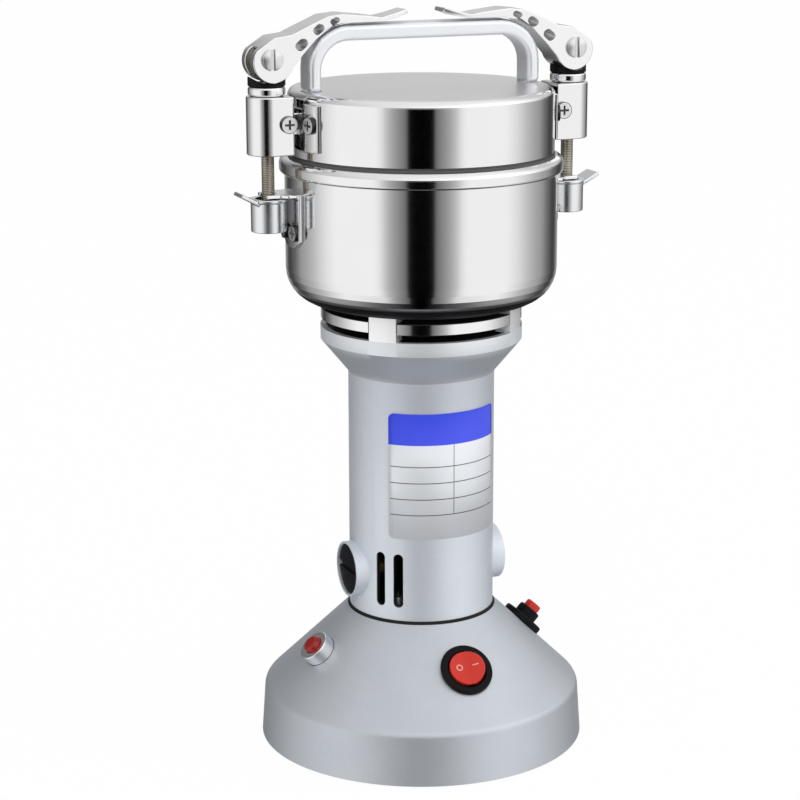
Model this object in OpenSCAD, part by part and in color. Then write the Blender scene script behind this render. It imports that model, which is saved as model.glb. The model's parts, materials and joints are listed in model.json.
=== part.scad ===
// Swing-type electric grain mill: bell base, motor column, stainless bowl and lid, two cam clamps.
// Millimetres, +Z up, origin at the bottom centre, front at -Y, clamps and brushes along X.

/* [Base] */
// Radius of the base at its skirt
base_r = 67.5; // [60:0.5:80]
// Radius of the base at its shoulder
shoulder_r = 66; // [58:0.5:78]
// Height of the shoulder, where the cone starts
shoulder_z = 22.2; // [16:0.2:30]
// Height where the cone meets the column
cone_top_z = 57; // [50:0.5:64]
// Radius that rounds the shoulder
shoulder_round = 4; // [2:0.5:8]
// Wall of the cast base
base_wall = 2.5; // [2:0.1:4]
// Gap between the base's lower edge and the table
skirt_gap = 1; // [0.6:0.1:2.5]
// Radius of a rubber foot
foot_r = 7; // [5:0.5:10]
// Distance of the feet from the axis
foot_ring_r = 50; // [40:1:54]

/* [Column] */
// Outer radius of the motor column
column_r = 30; // [27:0.5:36]
// Wall of the column
column_wall = 2.5; // [2:0.1:4]
// Height where the column starts to flare
flare_z = 157; // [140:0.5:170]
// Height where the flare becomes the band
band_z = 170.6; // [160:0.2:180]
// Height of the band's upper edge
band_top_z = 176.2; // [172:0.2:184]
// Outer radius of the band
band_r = 41.2; // [38:0.2:50]
// Width of each of the four posts that carry the bowl
post_w = 11.5; // [8:0.5:18]
// Width of the cooling slots
slot_w = 4.2; // [3:0.1:6]
// Height of the lower end of the cooling slots
slot_z = 62.8; // [60:0.1:66]
// Length of the cooling slots
slot_h = 22.9; // [10:0.1:30]
// Height of the brush axis
brush_z = 74.5; // [68:0.5:80]
// Outer radius of the brush bosses
boss_r = 11.5; // [9:0.1:14]
// Distance of the boss faces from the axis
boss_x = 33.5; // [31.5:0.1:38]

/* [Bowl] */
// Outer radius of the bowl
bowl_r = 55; // [50:0.5:62]
// Height of the bowl's flat bottom
bowl_z = 186.2; // [184:0.1:192]
// Radius of the bowl's bottom corner
bowl_corner_r = 14; // [8:0.5:18]
// Thickness of the stainless sheet
sheet_t = 1.3; // [1:0.1:2]
// How far the rim collar stands out of the bowl
rim_out = 2.2; // [1:0.1:5]
// Height of the rim collar's lower edge
rim_z = 239; // [230:0.5:245]
// Height of the rim collar
rim_h = 6.5; // [4:0.1:8]

/* [Lid] */
// Step in from the bowl's wall to the lid's wall
lid_step = 1.5; // [0.5:0.1:4]
// Thickness of the seal between the bowl's rim and the lid
seal_t = 1.6; // [1:0.1:3]
// Height of the lid's skirt and top together
lid_h = 25.4; // [20:0.1:32]
// Radius of the lid's upper edge
lid_corner_r = 3; // [2:0.1:5]
// How far the handle stands inside the lid's wall
handle_inset = 4; // [3:0.1:14]
// Thickness of the handle bar
handle_t = 5.2; // [4.6:0.1:9]
// Width of the handle bar
handle_w = 12.6; // [8:0.1:16]
// Height of the handle above the lid
handle_h = 25.7; // [20:0.1:34]
// Radius of the handle's outer corners
handle_corner_r = 16.5; // [8:0.5:20]

/* [Clamps] */
// Distance of the clamp rods from the bowl's wall
clamp_out = 10.2; // [9.5:0.1:15]
// Radius of a clamp rod
rod_r = 2.5; // [2:0.1:3]
// Distance of the swing screws from the bowl's wall
swing_out = 4.2; // [3.6:0.1:5]
// Height of the swing screws above the lid's lower edge
swing_up = 13.8; // [10:0.1:15]
// Half of the clamp housing's width
housing_half_w = 8.2; // [7.5:0.1:9.5]
// Height of the clamp housing below its swing screw
housing_down = 12.2; // [9:0.1:12.2]
// Height of the clamp housing above its swing screw
housing_up = 10.7; // [8:0.1:12]
// Height of the lever pin above the swing screw
lever_up = 25.1; // [24:0.1:28]
// Largest radius of the lever's cam
cam_r = 9.2; // [8:0.1:10]
// How far the cam lets the rod drop
cam_lift = 1.8; // [1.2:0.1:2.4]
// How far a lever turns from closed to open, in degrees
lever_open_deg = 105; // [90:1:110]
// Half of the lever's width
lever_half_w = 7.2; // [6:0.1:8]
// Distance from the swing screw down to the thumb nut's upper face
nut_down = 29.4; // [26:0.1:32]
// Outer radius of the thumb nut
nut_r = 7; // [6:0.1:8]
// Height of the thumb nut
nut_h = 13.2; // [10:0.1:16]

/* [Controls] */
// Radius of the rocker switch's bezel
bezel_r = 10.9; // [10:0.1:13]
// Radius of the rocker
rocker_r = 7.3; // [6.5:0.1:8.5]
// Tilt of the rocker at either end of its travel, in degrees
rocker_tilt = 9; // [6:0.5:12]
// Height of the controls on the cone
control_z = 41; // [36:0.5:44]
// Outer radius of the lamp's bezel
lamp_r = 6.8; // [5:0.1:8]
// Radius of the lamp's lens
lens_r = 3.8; // [3:0.1:5]
// Outer radius of the reset switch's flange
reset_r = 9; // [8:0.1:11]
// Travel of the reset button
reset_travel = 2; // [1:0.1:2.4]

/* [Motor] */
// Radius of the armature
armature_r = 17; // [15:0.5:19]
// Height of the lower end of the cores
core_z = 89; // [84:1:92]
// Length of the cores
core_h = 40; // [30:1:44]
// Radius of the commutator
commutator_r = 11; // [9:0.5:12]
// Swept radius of the blades
blade_r = 42; // [34:0.5:46]

/* [Hidden] */
$fn = 96;
overrun = 1;
cavity_drop = 2.5;
shoulder_wall = 1;
cavity_in = 0.5;
running_gap = 0.06;
slide_gap = 0.3;
screw_r = 2;
screw_head_r = 3.4;
screw_head_h = 1.3;
screw_l = 12;
sheet_screw_l = 6;
plate_screw_l = 22;
foot_screw_z = 3;
quarter = 90;
clock_r = 45;
arc_steps = 8;

cone_run = shoulder_r - column_r;
cone_rise = cone_top_z - shoulder_z;
cone_tilt = atan2(cone_rise, cone_run);
seat_depth = 0.5;
control_r = shoulder_r - cone_run * (control_z - shoulder_z) / cone_rise;
deck_t = 3;
deck_z = cone_top_z - deck_t;
deck_hole_r = 21;
base_screw_ring_r = 24.5;
cover_z = 4;
cover_t = 2;
cover_top_z = cover_z + cover_t;
cover_r = base_r - base_wall - slide_gap;
gland_z = 13.6;
gland_r = 5;
gland_bore_r = 3.4;

column_in_r = column_r - column_wall;
band_in_r = band_r - column_wall;
bearing_lower_r = 11;
bearing_lower_h = 7;
bearing_upper_r = 13;
bearing_upper_h = 7;
shaft_lower_r = 4;
shaft_r = 5;
floor_t = 3;
floor_z = cone_top_z + floor_t;
bearing_lower_z = floor_z - bearing_lower_h;
bearing_boss_r = bearing_lower_r + floor_t;
bracket_in = 0.8;
bracket_z = band_z + bracket_in;
bracket_t = 4;
bearing_lip = 0.5;
bearing_upper_z = bracket_z + bearing_lip;
plate_gap = 3.2;
plate_z = band_top_z + plate_gap;
plate_t = 4.5;
plate_top_z = plate_z + plate_t;
plate_inset = 0.2;
plate_r = band_r - plate_inset;
plate_in_r = 11;
post_in_r = 35;
post_clear = 0.4;
pad_ring_r = 30.2;
bowl_screw_r = 38.3;
seal_r = 9;
seal_lip_r = 11;
seal_lip_t = 2;

stator_r = column_in_r;
stator_in_r = 22.5;
air_gap = 0.7;
pole_half_deg = 50;
neck_half_deg = 20;
coil_out_r = 22.2;
pole_shoe_t = 2.4;
coil_in_r = armature_r + air_gap + pole_shoe_t;
coil_over = 5;
coil_half_deg = 48;
coil_neck_half_deg = 21;
coil_overlap = 0.5;
coil_seat = coil_in_r - coil_overlap;
coil_clear = coil_in_r - 2 * coil_overlap;
neck_out_r = 23;
brush_gap = 0.2;
brush_face_x = commutator_r + brush_gap;
brush_tube_in_r = 4;
brush_tube_r = 6.5;
brush_tube_x = 13.5;
cap_r = 10.6;
cap_recess = 0.8;
cap_t = 2.6;
brush_w = 4.8;
brush_l = 11;
fan_z = 143.5;
fan_h = 13;
fan_r = 25.5;
collar_z = 190.1;
collar_t = 3;
blade_t = 2;
blade_z = collar_z + collar_t;
blade_w = 12;
blade_bend_x = 22;
blade_bend_deg = 18;
nut_z = blade_z + blade_t + blade_t;
blade_nut_r = 7.5;
blade_nut_h = 6.5;
stud_top_z = nut_z + blade_nut_h + blade_t;

rim_r = bowl_r + rim_out;
lid_r = bowl_r - lid_step;
clamp_x = bowl_r + clamp_out;
swing_x = bowl_r + swing_out;
handle_half = lid_r - handle_inset;
rim_top_z = rim_z + rim_h;
lid_z = rim_top_z + seal_t;
lid_top_z = lid_z + lid_h;
bowl_in_r = bowl_r - sheet_t;
lid_in_r = lid_r - sheet_t;
seal_w = 2;
seal_in_r = lid_in_r - seal_w;
seal_skirt_h = 4;
handle_top_z = lid_top_z + handle_h;
handle_foot_x = handle_half - handle_t / 2;

swing_z = lid_z + swing_up;
housing_z = swing_z - housing_down;
housing_top_z = swing_z + housing_up;
housing_in = 2.4;
housing_x = swing_x - housing_in;
wall_t = 1.45;
pivot_z = swing_z + lever_up;
ear_gap = 0.2;
ear_out = housing_half_w - wall_t - ear_gap;
ear_t = 1.35;
ear_end_r = 4.2;
flange_t = 1.3;
flange_notch_half = 9.4;
flange_end_deg = 20;
flange_mid_up = 5.9;
flange_up = 3.2;
flange_down = 0.5;
flange_mid_top = swing_z + flange_mid_up;
flange_z = lid_z + flange_up;
flange_top = lid_top_z - lid_corner_r - flange_down;
bracket_screw_deg = 15.5;
saddle_bottom_z = pivot_z - cam_r - slide_gap;
saddle_r = 11;
pad_r = 7.4;
pad_floor_t = 1;
saddle_depth = 3.8;
pad_z = saddle_bottom_z - pad_floor_t;
pad_top_z = saddle_bottom_z + saddle_depth;
cam_rate = cam_lift / lever_open_deg;
cam_step_deg = 10;
cam_end_deg = 40;
head_degs = [-160, -100];
mouth_degs = [-122, 45];
eye_r = 5;
eye_half_w = 2.6;
eye_slot_half = 3;
pin_r = 2;
pin_head_r = 4.25;
pin_head_t = 1.2;
driver_slot = 0.9;
nut_z1 = swing_z - nut_down;
nut_z0 = nut_z1 - nut_h;
nut_cup_r = 5.2;
nut_cup_h = 4;
nut_flange_r = 7.6;
nut_flange_t = 1.3;
wing_root = 5.6;
wing_l = 8.2;
wing_t = 1.6;
wing_w = 10;
wing_deg = 28;
rod_clear = 0.4;
shelf_z = nut_z1 + slide_gap;
shelf_t = 1.5;
shelf_top_z = shelf_z + shelf_t;
shelf_x = clamp_x + rod_r;
shelf_half_w = 8;
shelf_neck = 5.7;
shelf_neck_x = clamp_x - shelf_neck;
shelf_end_half = 5.6;
shelf_plan = [[bowl_r - overrun, shelf_half_w], [shelf_neck_x, shelf_half_w],
    [shelf_neck_x + shelf_half_w - shelf_end_half, shelf_end_half], [shelf_x, shelf_end_half],
    [shelf_x, -shelf_end_half], [shelf_neck_x + shelf_half_w - shelf_end_half, -shelf_end_half],
    [shelf_neck_x, -shelf_half_w], [bowl_r - overrun, -shelf_half_w]];
fork_gap = 0.6;
fork_slot_half = rod_r + fork_gap;
catch_t = 1.5;
catch_h = 20.6;
catch_z = shelf_z - catch_h;
catch_half_deg = 10;
catch_screw_deg = 5.4;
catch_screw_down = 14.2;
catch_screw_z = shelf_z - catch_screw_down;
catch_neck_z = catch_screw_z - screw_head_r;
catch_shoulder = 1;
catch_half_w = shelf_half_w + catch_shoulder;

label_t = 0.3;
label_half_deg = 49;
label_z = 92.4;
label_h = 52.3;
front_deg = 270;
vent_degs = [213.5, 228.8];

bezel_t = 2.2;
barrel_r = 9.6;
barrel_l = 17;
rocker_gap = 0.4;
rocker_rise = 3.2;
rocker_depth = 6;
rocker_pivot = 1.6;
bezel_bore_r = rocker_r + rocker_gap;
bezel_bore_l = 10;
lamp_t = 5.6;
lamp_stem_r = 5;
lamp_stem_l = 12;
lens_h = 2.2;
lens_round = 1.6;
reset_t = 3;
reset_rim = 3;
reset_collar_r = 4.9;
reset_collar_h = 7;
reset_stem_r = 6.5;
reset_stem_l = 18;
reset_button_r = 3.4;
reset_button_h = 3;
reset_room = 1;

foot_boss_top = 36;
stud_r = 5;
stud_h = 10;
gland_in = 8;
gland_out = 2.9;
gland_lip = 1.2;
gland_face_in = 3;
gland_face_y = base_r - gland_face_in;
lamp_deg = 184;
reset_deg = 0;
rocker_lift = 1.2;
rocker_dip = 1.2;
lens_seat = 2;
reset_button_l = 5;
reset_bore_l = reset_button_l + reset_travel + reset_room;
shield_depth = 0.4;
race_t = 2;
arm_w = 9;
cap_plug = 3;
cap_slot_t = 1.2;
cap_slot_w = 2;
shaft_tail = 3;
shaft_step_z = 64.9;
slot_count = 12;
slot_step_deg = 4 * quarter / slot_count;
slot_depth = 5;
wire_w = 2.4;
wire_inset = 1.5;
segment_gap = 0.6;
fan_blades = 9;
lower_bend_deg = 5;
rim_round = 1.5;
rim_top_round = 3;
seal_inset = 0.4;
seal_r_out = lid_r - seal_inset;
axle_r = 0.75;
ear_root = 0.4;
wing_drop = 1.2;
skirt_edge = [base_r, skirt_gap];
shoulder_edge = [shoulder_r, shoulder_z];
cone_edge = [column_r, cone_top_z];
base_outside = concat([[0, skirt_gap], skirt_edge],
    corner(skirt_edge, shoulder_edge, cone_edge, shoulder_round), [cone_edge, [0, cone_top_z]]);
base_cavity = [[0, -overrun], [base_r - base_wall, -overrun],
    [shoulder_r - shoulder_wall, shoulder_z - cavity_drop],
    [column_r - cavity_in, deck_z], [0, deck_z]];

// The lever's arm about its pin, closed: along its top from the head to the tip
lever_top = [[-1.2, 8.4], [-8.1, 9.3], [-16.4, 13], [-23, 15.9], [-30.1, 16.6], [-40.5, 15.5],
    [-46, 14.7], [-52.5, 16.2], [-57, 17.5]];
// The lever's arm: along its underside from the tip back to the head
lever_under = [[-57.8, 16], [-52.5, 14.2], [-46, 13], [-33.4, 13], [-25, 11.9], [-18.2, 7.2],
    [-13.2, 2]];
// The lever's outline from above: wide head, narrower tip
lever_plan = [[6.5, -3.5], [8.2, -5], [20, -6], [52, -7.2], [80, -7.2], [80, 7.2], [52, 7.2],
    [20, 6], [8.2, 5], [6.5, 3.5]];
// The lever's three oval holes: place about the pin, length and width, tilt in degrees
lever_holes = [[[-12.1, 5.3], [5, 3.6], -40], [[-19.3, 10.9], [4.4, 3.2], -38],
    [[-26.1, 13.9], [3.6, 2.2], -22]];

// Points along an arc in a plane, from one angle to another
function arc(c, r, from, to) =
    [for (i = [0:arc_steps]) c + r * [cos(from + (to - from) * i / arc_steps),
                                      sin(from + (to - from) * i / arc_steps)]];

// Ring about the axis, between two heights
module ring(r_out, r_in, z_low, z_high) {
    difference() {
        translate([0, 0, z_low]) cylinder(r = r_out, h = z_high - z_low);
        translate([0, 0, z_low - overrun]) cylinder(r = r_in, h = z_high - z_low + 2 * overrun);
    }
}

// Part of a ring, centred on an angle about the axis
module ring_sector(r_out, r_in, z_low, z_high, mid_deg, half_deg) {
    rotate([0, 0, mid_deg - half_deg]) translate([0, 0, z_low])
        rotate_extrude(angle = 2 * half_deg)
            translate([r_in, 0]) square([r_out - r_in, z_high - z_low]);
}

// Cylinder along X, from one place to another
module rod_x(r, x_low, x_high) {
    translate([x_low, 0, 0]) rotate([0, quarter, 0]) cylinder(r = r, h = x_high - x_low);
}

// Cylinder along Y, from one place to another
module rod_y(r, y_low, y_high) {
    translate([0, y_low, 0]) rotate([-quarter, 0, 0]) cylinder(r = r, h = y_high - y_low);
}

// The right-hand piece as drawn, or its mirror on the left
module on_side(left) {
    if (left) mirror([1, 0, 0]) children();
    else children();
}

// Places a control on the cone, its own +Z pointing out of the surface
module on_cone(deg) {
    rotate([0, 0, deg]) translate([control_r, 0, control_z])
        rotate([0, cone_tilt, 0]) rotate([0, 0, quarter]) translate([0, 0, -seat_depth]) children();
}

// Pan-head screw whose head rests at the origin and whose shank points down
module screw(length) {
    difference() {
        union() {
            cylinder(r = screw_head_r, h = screw_head_h);
            translate([0, 0, -length]) cylinder(r = screw_r, h = length + screw_head_h / 2);
        }
        for (turn = [0, quarter])
            rotate([0, 0, turn]) translate([-screw_r, -driver_slot / 2, screw_head_h - driver_slot])
                cube([2 * screw_r, driver_slot, overrun + driver_slot]);
    }
}

// The screws through the feet and the cover, into the base
module cover_screw_places() {
    for (turn = [0:3]) rotate([0, 0, clock_r + quarter * turn])
        translate([foot_ring_r, 0, foot_screw_z]) mirror([0, 0, 1]) children();
}

// The screws up through the base's deck, into the column
module column_screw_places() {
    for (turn = [0:3]) rotate([0, 0, clock_r + quarter * turn])
        translate([base_screw_ring_r, 0, deck_z]) mirror([0, 0, 1]) children();
}

// The screws down through the vent plate and the bearing bracket, into the column
module plate_screw_places() {
    for (turn = [0:3]) rotate([0, 0, clock_r + quarter * turn])
        translate([pad_ring_r, 0, plate_top_z]) children();
}

// The screws down through the bowl's floor, into the posts
module bowl_screw_places() {
    for (turn = [0:3]) rotate([0, 0, clock_r + quarter * turn])
        translate([bowl_screw_r, 0, bowl_z + sheet_t]) children();
}

// The screws through the bowl catches
module catch_screw_places() {
    for (side = [0, 1]) mirror([side, 0, 0]) for (deg = [-catch_screw_deg, catch_screw_deg])
        rotate([0, 0, deg]) translate([bowl_r + catch_t, 0, catch_screw_z])
            rotate([0, quarter, 0]) children();
}

// The screws through the clamp brackets
module bracket_screw_places() {
    for (side = [0, 1]) mirror([side, 0, 0]) for (deg = [-bracket_screw_deg, bracket_screw_deg])
        rotate([0, 0, deg]) translate([lid_r + flange_t, 0, swing_z])
            rotate([0, quarter, 0]) children();
}

// The screws up through the lid, into the handle's feet
module handle_screw_places() {
    for (side = [0, 1]) mirror([side, 0, 0])
        translate([handle_foot_x, 0, lid_top_z - sheet_t]) mirror([0, 0, 1]) children();
}

// Hole for a screw's shank, on the shank's own line
module screw_hole(length) {
    translate([0, 0, -length - overrun]) cylinder(r = screw_r, h = length + 2 * overrun);
}

// Unit vector
function unit(v) = v / norm(v);

// Points of the arc that rounds the corner p between its neighbours a and b
function corner(a, p, b, r) =
    let (u = unit(a - p), w = unit(b - p), half = acos(u * w) / 2,
         c = p + unit(u + w) * r / sin(half),
         s = p + u * r / tan(half) - c, e = p + w * r / tan(half) - c,
         from = atan2(s[1], s[0]), raw = atan2(e[1], e[0]) - from,
         sweep = raw > 180 ? raw - 360 : raw < -180 ? raw + 360 : raw)
    [for (i = [0:arc_steps]) c + r * [cos(from + sweep * i / arc_steps),
                                      sin(from + sweep * i / arc_steps)]];

// Flat plate in the XZ plane, drawn as X and Z, from one Y to a thickness beyond it
module plate_xz(y_low, t) {
    translate([0, y_low + t, 0]) rotate([quarter, 0, 0]) linear_extrude(t) children();
}

// Cylinder along Z whose lower end stands at a place
module post(r, place, h) {
    translate(place) cylinder(r = r, h = h);
}

// Hole for a control's stem, with a flat seat around it for the control's flange
module control_seat(flange_r, stem_r) {
    post(flange_r + slide_gap, [0, 0, 0], base_wall);
    post(stem_r, [0, 0, -2 * base_wall], 3 * base_wall);
}

module base_shell() color("silver") difference() {
    rotate_extrude() polygon(base_outside);
    difference() {
        rotate_extrude() polygon(base_cavity);
        for (turn = [0:3]) rotate([0, 0, clock_r + quarter * turn])
            post(stud_r, [foot_ring_r, 0, cover_top_z], foot_boss_top);
        translate([0, 0, gland_z]) rod_y(gland_r + 2 * gland_lip, gland_face_y - 2 * base_wall, base_r);
    }
    post(deck_hole_r, [0, 0, deck_z - overrun], deck_t + 2 * overrun);
    cover_screw_places() screw_hole(screw_l);
    column_screw_places() screw_hole(screw_l);
    on_cone(front_deg) control_seat(bezel_r, barrel_r);
    on_cone(lamp_deg) control_seat(lamp_r, lamp_stem_r);
    on_cone(reset_deg) control_seat(reset_r, reset_stem_r);
    translate([0, 0, gland_z]) {
        rod_y(gland_r, column_r, base_r);
        rod_y(gland_r + 3 * gland_lip / 2, gland_face_y, base_r + overrun);
    }
}

module bottom_cover() color("dimgray") difference() {
    post(cover_r, [0, 0, cover_z], cover_t);
    cover_screw_places() screw_hole(screw_l);
}

module rubber_feet() color("black") difference() {
    for (turn = [0:3]) rotate([0, 0, clock_r + quarter * turn])
        post(foot_r, [foot_ring_r, 0, 0], cover_z);
    cover_screw_places() screw_hole(screw_l);
    cover_screw_places() post(screw_head_r + rod_clear, [0, 0, 0], screw_head_h + overrun);
}

module cord_gland() color("black") translate([0, 0, gland_z]) difference() {
    union() {
        rod_y(gland_r, gland_face_y - gland_in, gland_face_y + gland_out);
        rod_y(gland_r + gland_lip, gland_face_y, gland_face_y + gland_out / 2);
    }
    rod_y(gland_bore_r, gland_face_y - gland_in - overrun, gland_face_y + gland_out + overrun);
}

// The bezel carries the rocker on an axle across its bore
module switch_bezel() color("black") on_cone(front_deg) {
    difference() {
        union() {
            cylinder(r = bezel_r, h = bezel_t);
            post(barrel_r, [0, 0, -barrel_l], barrel_l);
        }
        post(bezel_bore_r, [0, 0, bezel_t - bezel_bore_l], bezel_bore_l + overrun);
    }
    translate([0, 0, rocker_lift]) rod_y(axle_r, -bezel_bore_r - axle_r, bezel_bore_r + axle_r);
}

// The rocker drawn in its level middle position, its pivot line along local Y
module rocker_level() difference() {
    union() {
        post(rocker_r, [0, 0, -rocker_pivot], rocker_rise + rocker_pivot);
        post(rocker_r - rocker_rise, [0, 0, -rocker_depth], rocker_depth);
    }
    for (turn = [0, 2 * quarter]) rotate([0, 0, turn])
        translate([0, -rocker_r, rocker_rise - rocker_dip]) rotate([0, -rocker_tilt, 0])
            cube([3 * rocker_r, 2 * rocker_r, rocker_rise]);
    rod_y(axle_r + running_gap, -rocker_r - overrun, rocker_r + overrun);
}

module switch_rocker() color("red") on_cone(front_deg) translate([0, 0, rocker_lift])
    rotate([0, -rocker_tilt, 0]) rocker_level();

module lamp_bezel() color("gainsboro") on_cone(lamp_deg) difference() {
    union() {
        cylinder(r = lamp_r, h = lamp_t);
        post(lamp_stem_r, [0, 0, -lamp_stem_l], lamp_stem_l);
    }
    post(lens_r, [0, 0, lamp_t - lens_seat], lens_seat + overrun);
}

module lamp_lens() color("red") on_cone(lamp_deg) translate([0, 0, lamp_t - lens_seat])
    rotate_extrude() polygon(concat([[0, 0], [lens_r, 0]],
        corner([lens_r, 0], [lens_r, lens_seat + lens_h], [0, lens_seat + lens_h], lens_round),
        [[0, lens_seat + lens_h]]));

module reset_body() color("black") on_cone(reset_deg) difference() {
    union() {
        ring(reset_r, reset_r - reset_rim, 0, reset_t);
        cylinder(r = reset_r, h = reset_t / 2);
        cylinder(r = reset_collar_r, h = reset_collar_h);
        post(reset_stem_r, [0, 0, -reset_stem_l], reset_stem_l);
    }
    post(reset_button_r + slide_gap, [0, 0, reset_collar_h - reset_bore_l], reset_bore_l + overrun);
}

module reset_button() color("red") on_cone(reset_deg)
    post(reset_button_r, [0, 0, reset_collar_h - reset_button_l], reset_button_l + reset_button_h);

// Upright slot with round ends, cut outward through the column's wall
module vent_slot() {
    for (low = [0, slot_h - slot_w])
        translate([0, 0, slot_z + slot_w / 2 + low]) rod_x(slot_w / 2, 0, column_r + overrun);
    translate([0, -slot_w / 2, slot_z + slot_w / 2])
        cube([column_r + overrun, slot_w, slot_h - slot_w]);
}

module motor_housing() color("silver") difference() {
    union() {
        rotate_extrude() polygon([[0, cone_top_z], [column_r, cone_top_z], [column_r, flare_z],
            [band_r, band_z], [band_r, band_top_z], [0, band_top_z]]);
        post(bearing_boss_r, [0, 0, bearing_lower_z - floor_t / 2], floor_t + floor_t);
        for (side = [0, 2 * quarter]) rotate([0, 0, side])
            translate([0, 0, brush_z]) rod_x(boss_r, column_in_r - boss_r, boss_x);
        for (turn = [0:3]) rotate([0, 0, clock_r + quarter * turn]) intersection() {
            ring(band_r, post_in_r, band_z, bowl_z);
            translate([0, -post_w / 2, band_z]) cube([band_r, post_w, bowl_z - band_z]);
        }
    }
    difference() {
        union() {
            post(column_in_r, [0, 0, floor_z], bracket_z - floor_z);
            post(post_in_r, [0, 0, bracket_z], bowl_z);
            post(band_in_r, [0, 0, bracket_z], band_top_z - bracket_z);
        }
        for (turn = [0:3]) rotate([0, 0, clock_r + quarter * turn])
            post(stud_r, [base_screw_ring_r, 0, cone_top_z], stud_h);
    }
    post(bearing_lower_r, [0, 0, bearing_lower_z], bracket_z);
    post(shaft_lower_r + overrun, [0, 0, shoulder_z], bracket_z);
    for (deg = vent_degs) for (turn = [0, 2 * quarter]) rotate([0, 0, deg + turn]) vent_slot();
    for (side = [0, 2 * quarter]) rotate([0, 0, side]) translate([0, 0, brush_z]) {
        rod_x(brush_tube_r, 0, boss_x);
        rod_x(cap_r, boss_x - cap_recess - cap_t, boss_x + overrun);
    }
    column_screw_places() screw_hole(screw_l);
    plate_screw_places() screw_hole(plate_screw_l);
    bowl_screw_places() screw_hole(screw_l);
}

module rating_label() color("royalblue")
    ring_sector(column_r + label_t, column_r + running_gap / 2, label_z, label_z + label_h,
        front_deg, label_half_deg);

module stator_core() color("slategray") {
    ring(stator_r, stator_in_r, core_z, core_z + core_h);
    for (deg = [quarter, 3 * quarter]) {
        ring_sector(neck_out_r, coil_seat, core_z, core_z + core_h, deg, neck_half_deg);
        ring_sector(coil_in_r, armature_r + air_gap, core_z, core_z + core_h, deg, pole_half_deg);
    }
}

module field_coils() color("chocolate") for (deg = [quarter, 3 * quarter]) difference() {
    ring_sector(coil_out_r, coil_in_r, core_z - coil_over, core_z + core_h + coil_over, deg, coil_half_deg);
    ring_sector(stator_in_r, coil_clear, core_z - slide_gap, core_z + core_h + slide_gap, deg,
        coil_neck_half_deg);
}

// Ball bearing with a shallow groove in each face, where the shield sits
module bearing(r_out, r_in, z_low, h) color("lightgray") difference() {
    ring(r_out, r_in, z_low, z_low + h);
    for (face = [z_low - overrun, z_low + h - shield_depth])
        ring(r_out - race_t, r_in + race_t, face, face + overrun + shield_depth);
}

module lower_bearing() bearing(bearing_lower_r, shaft_lower_r + running_gap / 2, bearing_lower_z,
    bearing_lower_h);

module upper_bearing() bearing(bearing_upper_r, shaft_r + running_gap / 2, bearing_upper_z,
    bearing_upper_h);

module bearing_bracket() color("darkgray") difference() {
    union() {
        ring(band_in_r - slide_gap / 2, column_in_r + overrun, bracket_z, bracket_z + bracket_t);
        ring(bearing_upper_r + floor_t, shaft_r + overrun, bracket_z, plate_z);
        for (turn = [0:3]) rotate([0, 0, clock_r + quarter * turn]) {
            translate([bearing_upper_r, -arm_w / 2, bracket_z])
                cube([pad_ring_r - bearing_upper_r, arm_w, bracket_t]);
            post(arm_w / 2, [pad_ring_r, 0, bracket_z], plate_z - bracket_z);
        }
    }
    post(bearing_upper_r, [0, 0, bearing_upper_z], plate_z);
    plate_screw_places() screw_hole(plate_screw_l);
}

module vent_plate() color("gainsboro") difference() {
    ring(plate_r, plate_in_r, plate_z, plate_top_z);
    for (turn = [0:3]) rotate([0, 0, clock_r + quarter * turn])
        translate([post_in_r - post_clear, -post_w / 2 - post_clear, plate_z - overrun])
            cube([band_r, post_w + 2 * post_clear, plate_t + 2 * overrun]);
    plate_screw_places() screw_hole(plate_screw_l);
}

module brush_holder(left) color("peru") on_side(left) translate([0, 0, brush_z]) difference() {
    rod_x(brush_tube_r, brush_tube_x, boss_x - cap_recess - cap_t);
    rod_x(brush_tube_in_r, 0, boss_x);
}

module carbon_brush(left) color("black") on_side(left)
    translate([brush_face_x, -brush_w / 2, brush_z - brush_w / 2]) cube([brush_l, brush_w, brush_w]);

module brush_spring(left) color("gold") on_side(left) translate([0, 0, brush_z]) difference() {
    rod_x(brush_w / 2, brush_face_x + brush_l, boss_x - cap_recess - cap_t - cap_plug);
    rod_x(brush_w / 3, 0, boss_x);
}

module brush_cap(left) color("black") on_side(left) translate([0, 0, brush_z]) difference() {
    union() {
        rod_x(cap_r, boss_x - cap_recess - cap_t, boss_x - cap_recess);
        rod_x(brush_tube_in_r, boss_x - cap_recess - cap_t - cap_plug, boss_x - cap_recess - cap_t / 2);
    }
    translate([boss_x - cap_recess - cap_slot_t, -cap_r, -cap_slot_w / 2])
        cube([cap_t, 2 * cap_r, cap_slot_w]);
}

module motor_shaft() color("lightgray") {
    post(shaft_lower_r, [0, 0, bearing_lower_z - shaft_tail], floor_z);
    post(shaft_r, [0, 0, shaft_step_z], nut_z - shaft_step_z);
    post(shaft_r + floor_t, [0, 0, collar_z], collar_t);
    post(shaft_lower_r, [0, 0, nut_z - overrun], stud_top_z - nut_z + overrun);
}

module armature_core() color("slategray") difference() {
    ring(armature_r, shaft_r, core_z, core_z + core_h);
    for (turn = [0:slot_count - 1]) rotate([0, 0, turn * slot_step_deg])
        translate([armature_r - slot_depth, -wire_w / 2, core_z - overrun])
            cube([slot_depth + overrun, wire_w, core_h + 2 * overrun]);
}

module armature_windings() color("chocolate") {
    ring(armature_r - wire_inset, shaft_r + running_gap, core_z - coil_over, core_z);
    ring(armature_r - wire_inset, shaft_r + running_gap, core_z + core_h, core_z + core_h + coil_over);
    for (turn = [0:slot_count - 1]) rotate([0, 0, turn * slot_step_deg])
        translate([armature_r - slot_depth, -wire_w / 2, core_z - overrun])
            cube([slot_depth - wire_inset, wire_w, core_h + 2 * overrun]);
}

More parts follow.
